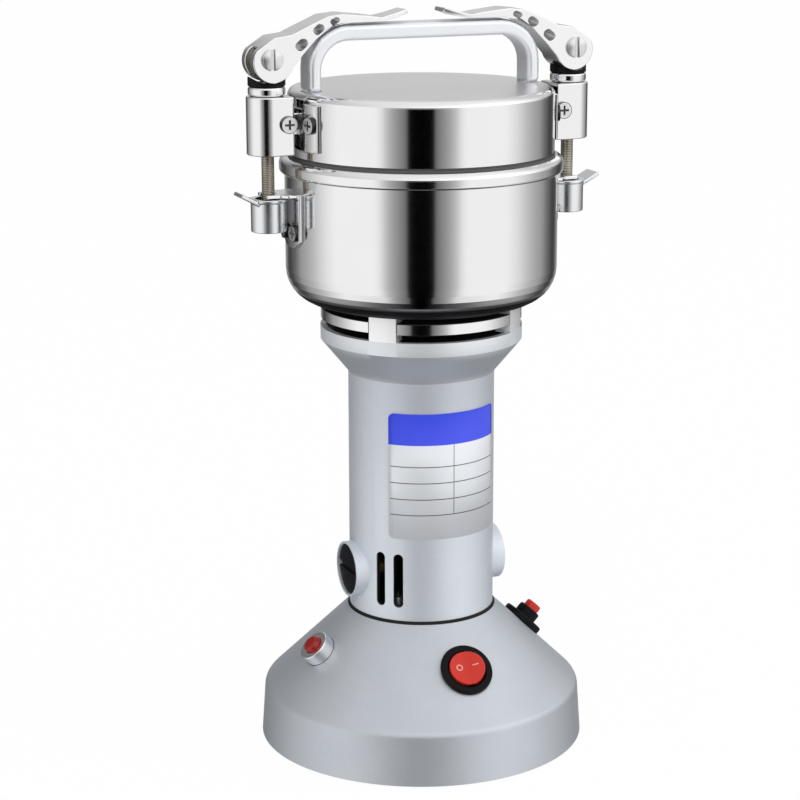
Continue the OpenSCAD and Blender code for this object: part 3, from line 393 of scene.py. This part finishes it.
def plastic(name, dark, light, gloss, shine=0.5):
    """Moulded plastic or rubber with a fine grain."""
    finish = Finish(name)
    cloud = finish.noise(90)
    grain = finish.noise(1800)
    return finish.surface(
        Base_Color=finish.mix(cloud, dark, light), Roughness=gloss + 0.12 * grain,
        Specular_IOR_Level=shine, Normal=finish.bump(grain, 0.00002, 0.35))


def metal(name, dark, light, gloss, metallic=1.0):
    """Cast, wound or enamelled metal with clouds and a fine grain."""
    finish = Finish(name)
    cloud = finish.noise(120, detail=3.0)
    fine = finish.noise(2000)
    return finish.surface(
        Base_Color=finish.mix(cloud, dark, light), Metallic=metallic,
        Roughness=gloss + 0.14 * cloud, Normal=finish.bump(fine, 0.00002, 0.5))


def studio_sky(scene):
    """A bright room with one dark gap straight ahead; the camera itself sees plain white."""
    world = bpy.data.worlds.new("studio_sky")
    scene.world = world
    sky = Finish("studio_sky", world)
    x, y, z = sky.axes(sky.node("ShaderNodeTexCoord").outputs["Generated"])
    ahead = x * math.sin(CAMERA_AZIMUTH) - y * math.cos(CAMERA_AZIMUTH)
    across = x * math.cos(CAMERA_AZIMUTH) + y * math.sin(CAMERA_AZIMUTH)
    turn = (ahead / reach(x, y).math("MAXIMUM", 0.0001)).math("ARCCOSINE") / math.pi
    horizon = sky.num("ShaderNodeValToRGB", {"stops": HORIZON_GLOW}, {0: turn})
    upper = sky.num("ShaderNodeValToRGB", {"stops": UPPER_GLOW}, {0: turn})
    upper = upper * UPPER_GAIN + UPPER_SLANT * across
    glow = horizon + (upper - horizon) * sky.step(z, *HORIZON_TO_UPPER)
    glow = glow + (ZENITH_GLOW + ZENITH_SLANT * across - glow) * sky.step(z, *UPPER_TO_ZENITH)
    glow = glow * (UNDER_GLOW + (1 - UNDER_GLOW) * sky.step(z, *UNDER_TO_HORIZON))
    seen = Num(sky, sky.node("ShaderNodeLightPath").outputs["Is Camera Ray"])
    back = sky.node("ShaderNodeBackground", None, {"Color": (1, 1, 1), "Strength": glow + (1 - glow) * seen})
    sky.node("ShaderNodeOutputWorld", None, {"Surface": back.outputs[0]})


def studio_floor():
    """A pale floor that the camera sees almost white, with a soft shadow on it."""
    bpy.ops.object.select_all(action="DESELECT")
    bpy.ops.mesh.primitive_plane_add(size=FLOOR_SIZE, location=(0, 0, 0))
    floor = bpy.context.object
    floor.name = "studio_floor"
    floor.visible_glossy = False
    ground = Finish("studio_floor")
    seen = Num(ground, ground.node("ShaderNodeLightPath").outputs["Is Camera Ray"])
    cloth = ground.node("ShaderNodeBsdfDiffuse", None, {"Color": (FLOOR_GREY, FLOOR_GREY, FLOOR_GREY)})
    white = ground.node("ShaderNodeEmission", None, {"Color": (1, 1, 1), "Strength": 1.0})
    both = ground.node("ShaderNodeMixShader", None, {
        0: seen * FLOOR_WHITENESS, 1: cloth.outputs[0], 2: white.outputs[0]})
    ground.node("ShaderNodeOutputMaterial", None, {"Surface": both.outputs[0]})
    floor.data.materials.append(ground.owner)


def studio():
    """Sky, floor, lamps and camera."""
    scene = bpy.context.scene
    scene.view_settings.view_transform = "Standard"
    studio_sky(scene)
    studio_floor()

    for name, place, power in LAMPS:
        lamp = bpy.data.lights.new(name, "AREA")
        lamp.size = LAMP_SIZE
        lamp.energy = power
        holder = bpy.data.objects.new(name, lamp)
        holder.location = place
        holder.rotation_euler = (Vector(LAMP_TARGET) - Vector(place)).to_track_quat("-Z", "Y").to_euler()
        holder.visible_glossy = False
        scene.collection.objects.link(holder)

    lens = bpy.data.cameras.new("view")
    lens.lens = FOCAL_PIXELS / PHOTO_WIDTH * SENSOR
    lens.sensor_width = SENSOR
    lens.clip_start = CAMERA_NEAR
    lens.shift_x = (PHOTO_WIDTH / 2 - AXIS_PIXEL) / PHOTO_WIDTH
    eye = bpy.data.objects.new("view", lens)
    eye.location = (math.sin(CAMERA_AZIMUTH) * CAMERA_DISTANCE,
                    -math.cos(CAMERA_AZIMUTH) * CAMERA_DISTANCE, CAMERA_HEIGHT)
    eye.rotation_euler = (math.pi / 2 - CAMERA_PITCH, 0, CAMERA_AZIMUTH)
    scene.collection.objects.link(eye)
    scene.camera = eye


def select_only(piece):
    bpy.ops.object.select_all(action="DESELECT")
    piece.select_set(True)
    bpy.context.view_layer.objects.active = piece


def edit(piece, *steps):
    """Runs edit-mode steps on a whole piece."""
    select_only(piece)
    bpy.ops.object.mode_set(mode="EDIT")
    bpy.ops.mesh.select_all(action="SELECT")
    for step in steps:
        step()
    bpy.ops.object.mode_set(mode="OBJECT")


def finish_with(piece, kind, **settings):
    """Adds a modifier and applies it."""
    modifier = piece.modifiers.new(kind.title(), kind)
    for key, value in settings.items():
        setattr(modifier, key, value)
    select_only(piece)
    bpy.ops.object.modifier_apply(modifier=modifier.name)


def smoothed(piece, angle=SHARP):
    select_only(piece)
    bpy.ops.object.shade_smooth_by_angle(angle=angle)


def bevelled(piece, width, segments, clamp):
    finish_with(piece, "BEVEL", width=width, segments=segments, limit_method="ANGLE",
                angle_limit=SHARP, harden_normals=True, use_clamp_overlap=clamp)


def rounded(piece, width, segments=3):
    bevelled(piece, width, segments, True)
    smoothed(piece)
    return piece


def add_detail(piece, node, material):
    """A piece that moves with a solid's body."""
    piece.data.materials.clear()
    piece.data.materials.append(material)
    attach(piece, BODY_OF[node])


def stand_for(piece, node, material):
    """A piece that shows in place of a solid and moves with its body."""
    add_detail(piece, node, material)
    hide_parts(node)


def eased(node, material, width):
    """A solid's own surface with its edges rounded, or only shaded afresh where the width is nought."""
    source = frame["nodes"][node]
    bpy.context.view_layer.update()
    piece = bpy.data.objects.new(node + "_eased", source.data.copy())
    piece.data.transform(source.matrix_world)
    bpy.context.scene.collection.objects.link(piece)
    edit(piece, lambda: bpy.ops.mesh.remove_doubles(threshold=MERGE),
         lambda: bpy.ops.mesh.customdata_custom_splitnormals_clear())
    if width:
        edit(piece, lambda: bpy.ops.mesh.dissolve_limited(angle_limit=FLAT))
    smoothed(piece)
    if width:
        bevelled(piece, width, 3, False)
    stand_for(piece, node, material)


def disc(name, radius, depth, place, sides=96):
    """A round plate or rod that lies along Y."""
    bpy.ops.object.select_all(action="DESELECT")
    bpy.ops.mesh.primitive_cylinder_add(
        vertices=sides, radius=radius, depth=depth, location=place, rotation=(math.pi / 2, 0, 0))
    piece = bpy.context.object
    piece.name = name
    select_only(piece)
    bpy.ops.object.transform_apply(location=True, rotation=True, scale=True)
    return piece


def joined(name, pieces):
    bpy.ops.object.select_all(action="DESELECT")
    for piece in pieces:
        piece.select_set(True)
    bpy.context.view_layer.objects.active = pieces[0]
    bpy.ops.object.join()
    pieces[0].name = name
    return pieces[0]


def lever_pin(side, way, material):
    """A headed pin with a broad driver slot in its front head."""
    x, z = way * CLAMP_X, PIVOT_Z
    front = -LEVER_HALF - PIN_HEAD / 2
    parts = []
    for half in (-1, 1):
        part = disc("pin_half", PIN_HEAD_R, PIN_HEAD, (x, front, z))
        edit(part, lambda: bpy.ops.mesh.bisect(
            plane_co=(x + half * PIN_SLOT, front, z), plane_no=(half, 0, 0), use_fill=True, clear_inner=True))
        parts.append(rounded(part, PIN_FRONT_ROUND))
    parts.append(disc("pin_floor", PIN_HEAD_R - SLOT_FLOOR_IN, SLOT_FLOOR_T,
                      (x, -LEVER_HALF - SLOT_FLOOR_T / 2, z)))
    parts.append(disc("pin_shank", PIN_R, 2 * LEVER_HALF, (x, 0, z), PIN_SHANK_SIDES))
    parts.append(rounded(disc("pin_rear", PIN_HEAD_R, PIN_HEAD, (x, -front, z)), PIN_REAR_ROUND))
    stand_for(joined("lever_pin_" + side + "_looks", parts), "lever_pin_" + side, material)


def rocker_marks(material):
    """A ring on the pressed half and a short bar on the raised half of the rocker."""
    seat = (Matrix.Translation((0, -CONTROL_R * MM, CONTROL_Z * MM)) @ Matrix.Rotation(CONE_TILT, 4, "X")
            @ Matrix.Translation((0, 0, ROCKER_FACE * MM)))
    bpy.ops.object.select_all(action="DESELECT")
    bpy.ops.mesh.primitive_torus_add(
        major_segments=48, minor_segments=12, major_radius=RING_R, minor_radius=RING_WIRE)
    ring = bpy.context.object
    ring.name = "rocker_ring"
    ring.data.transform(seat @ Matrix.Translation(RING_PLACE) @ Matrix.Scale(RING_FLATNESS, 4, (0, 0, 1)))
    bpy.ops.object.select_all(action="DESELECT")
    bpy.ops.mesh.primitive_cube_add(size=1)
    bar = bpy.context.object
    bar.name = "rocker_bar"
    bar.data.transform(Matrix.Diagonal((*BAR_SIZE, 1)))
    rounded(bar, BAR_ROUND, 2)
    bar.data.transform(seat @ Matrix.Rotation(-ROCKER_BEND, 4, "Y") @ Matrix.Translation(BAR_PLACE))
    for mark in (ring, bar):
        smoothed(mark)
        add_detail(mark, "switch_rocker", material)


def turned(name, outline, steps=192, sweep=360, start=0):
    """A piece turned about the mill's axis from an outline of radii and heights in mm."""
    points = [(radius * MM, 0, height * MM) for radius, height in outline]
    mesh = bpy.data.meshes.new(name)
    mesh.from_pydata(points[:1], [], [])
    piece = bpy.data.objects.new(name, mesh)
    bpy.context.scene.collection.objects.link(piece)
    moves = [tuple(b - a for a, b in zip(one, two)) for one, two in zip(points, points[1:])]
    edit(piece, *[lambda way=way: bpy.ops.mesh.extrude_region_move(
        TRANSFORM_OT_translate={"value": way}) for way in moves])
    edit(piece,
         lambda: bpy.ops.mesh.spin(steps=steps, angle=math.radians(sweep), center=(0, 0, 0), axis=(0, 0, -1)),
         lambda: bpy.ops.mesh.select_all(action="SELECT"),
         lambda: bpy.ops.mesh.remove_doubles(threshold=MERGE),
         lambda: bpy.ops.mesh.normals_make_consistent(inside=False))
    piece.data.transform(Matrix.Rotation(math.radians(start), 4, "Z"))
    smoothed(piece, SHARP_TURNED)
    return piece


def label_sheet(material):
    """The foil on the column, with rounded corners."""
    piece = turned("label_sheet", [(LABEL_R, LABEL_LOW), (LABEL_R, LABEL_LOW + LABEL_TALL)],
                   steps=2 * LABEL_HALF, sweep=2 * LABEL_HALF, start=FRONT_DEG - LABEL_HALF)
    corner = LABEL_CORNER * MM
    for side in (-1, 1):
        turn = math.radians(FRONT_DEG + side * LABEL_HALF)
        out = Vector((-math.sin(turn), math.cos(turn), 0)) * side
        edge = Vector((math.cos(turn), math.sin(turn), 0)) * LABEL_R * MM
        for up, height in ((-1, LABEL_LOW), (1, LABEL_LOW + LABEL_TALL)):
            middle = edge - out * corner + Vector((0, 0, height * MM - up * corner))
            for cut in LABEL_CORNER_CUTS:
                lean = math.radians(cut)
                way = out * math.cos(lean) + Vector((0, 0, up * math.sin(lean)))
                edit(piece, lambda: bpy.ops.mesh.bisect(
                    plane_co=middle + way * corner, plane_no=way, clear_outer=True))
    finish_with(piece, "SOLIDIFY", thickness=LABEL_FOIL * MM, offset=-1)
    stand_for(piece, "rating_label", material)


steel = polished_steel("polished_steel", STEEL_GLOSS)
pressed_steel = polished_steel("pressed_steel", 0.10)
satin = satin_steel("satin_steel")
clamp_screw_steel = satin_steel("clamp_screw_steel", forward=[(SWING_X, SWING_Z)])
thread = threaded_steel()
core = metal("core_steel", (0.10, 0.10, 0.11), (0.18, 0.18, 0.19), 0.4)
rubber = plastic("rubber", (0.008, 0.008, 0.008), (0.016, 0.016, 0.016), 0.62, shine=0.2)
mark_pale = plastic("mark_pale", (0.66, 0.36, 0.31), (0.76, 0.44, 0.38), 0.30)

# The finish of each material slot, and of single solids that differ from their slot
SLOTS = {
    # The base's paint is the same silver paint set to 0.82 of the column's brightness: painted shade
    "silver_paint": silver_paint("silver_paint", shade=0.82, gloss=0.42, flakes=0.75),
    "black_sheet": rubber, "rubber": rubber, "stainless": steel, "chrome_trim": steel, "steel": satin,
    "black_plastic": plastic("black_plastic", (0.003, 0.003, 0.004), (0.007, 0.007, 0.008), 0.24, shine=0.1),
    "red_plastic": plastic("red_plastic", (0.50, 0.022, 0.012), (0.60, 0.032, 0.018), 0.16, shine=0.35),
    "white_plastic": plastic("white_plastic", (0.10, 0.10, 0.10), (0.14, 0.14, 0.14), 0.5),
    "carbon": plastic("carbon", (0.02, 0.02, 0.02), (0.04, 0.04, 0.04), 0.5),
    "label_foil": label_print(), "core_steel": core,
    "copper_wire": metal("copper_wire", (0.30, 0.10, 0.035), (0.45, 0.17, 0.07), 0.32),
    # Painted shade: the cast alloy is coloured near black so the bearing bracket reads as shade in the
    # column's gap
    "cast_alloy": metal("cast_alloy", (0.02, 0.02, 0.02), (0.04, 0.04, 0.04), 0.5, 0.4),
    "brass": metal("brass", (0.48, 0.33, 0.14), (0.60, 0.44, 0.22), 0.24),
    "handle_enamel": metal("handle_enamel", (0.84, 0.85, 0.885), (0.91, 0.92, 0.95), 0.26, 0.75),
    "lever_enamel": metal("lever_casting", (0.90, 0.90, 0.905), (0.95, 0.95, 0.955), 0.15),
    "zinc_casting": metal("zinc_casting", (0.82, 0.83, 0.85), (0.90, 0.91, 0.93), 0.20)}
SINGLE = {
    "motor_housing": silver_paint("column_paint", shade=1.0, gloss=0.45, flakes=0.6, on_column=True),
    "bowl": polished_steel("bowl_steel", STEEL_GLOSS, BOWL_UNDERSIDE),
    # Painted shade: the lower bearing takes the dark core steel where it shows through the column's slots
    "lid": lid_steel(), "vent_plate": plate_steel(), "lower_bearing": core,
    "lid_seal": plastic("seal_rubber", (0.075, 0.075, 0.078), (0.105, 0.105, 0.108), 0.5, shine=0.3),
    "lamp_lens": plastic("lens_red", (0.22, 0.004, 0.003), (0.34, 0.008, 0.005), 0.06),
    "machine_screws": satin_steel("screw_steel", outward=[BRACKET_SCREWS, CATCH_SCREWS])}
for side in SIDES:
    SINGLE["clamp_screw_" + side] = clamp_screw_steel
    SINGLE["clamp_rod_" + side] = thread
    SINGLE["clamp_housing_" + side] = pressed_steel
    EASED += [(piece + "_" + side, width) for piece, width in EASED_PAIRS]
FINISH_OF = {node: SINGLE.get(node, SLOTS[slot]) for node, slot in SLOT_OF.items()}

studio()

for node, material in FINISH_OF.items():
    solid = frame["nodes"][node]
    solid.data.materials.clear()
    solid.data.materials.append(material)

label_sheet(SLOTS["label_foil"])
for node, width in EASED:
    eased(node, FINISH_OF[node], width * MM)
for side, way in SIDES.items():
    lever_pin(side, way, satin)
rocker_marks(mark_pale)
add_detail(turned("column_gasket", GASKET), "base_shell", rubber)
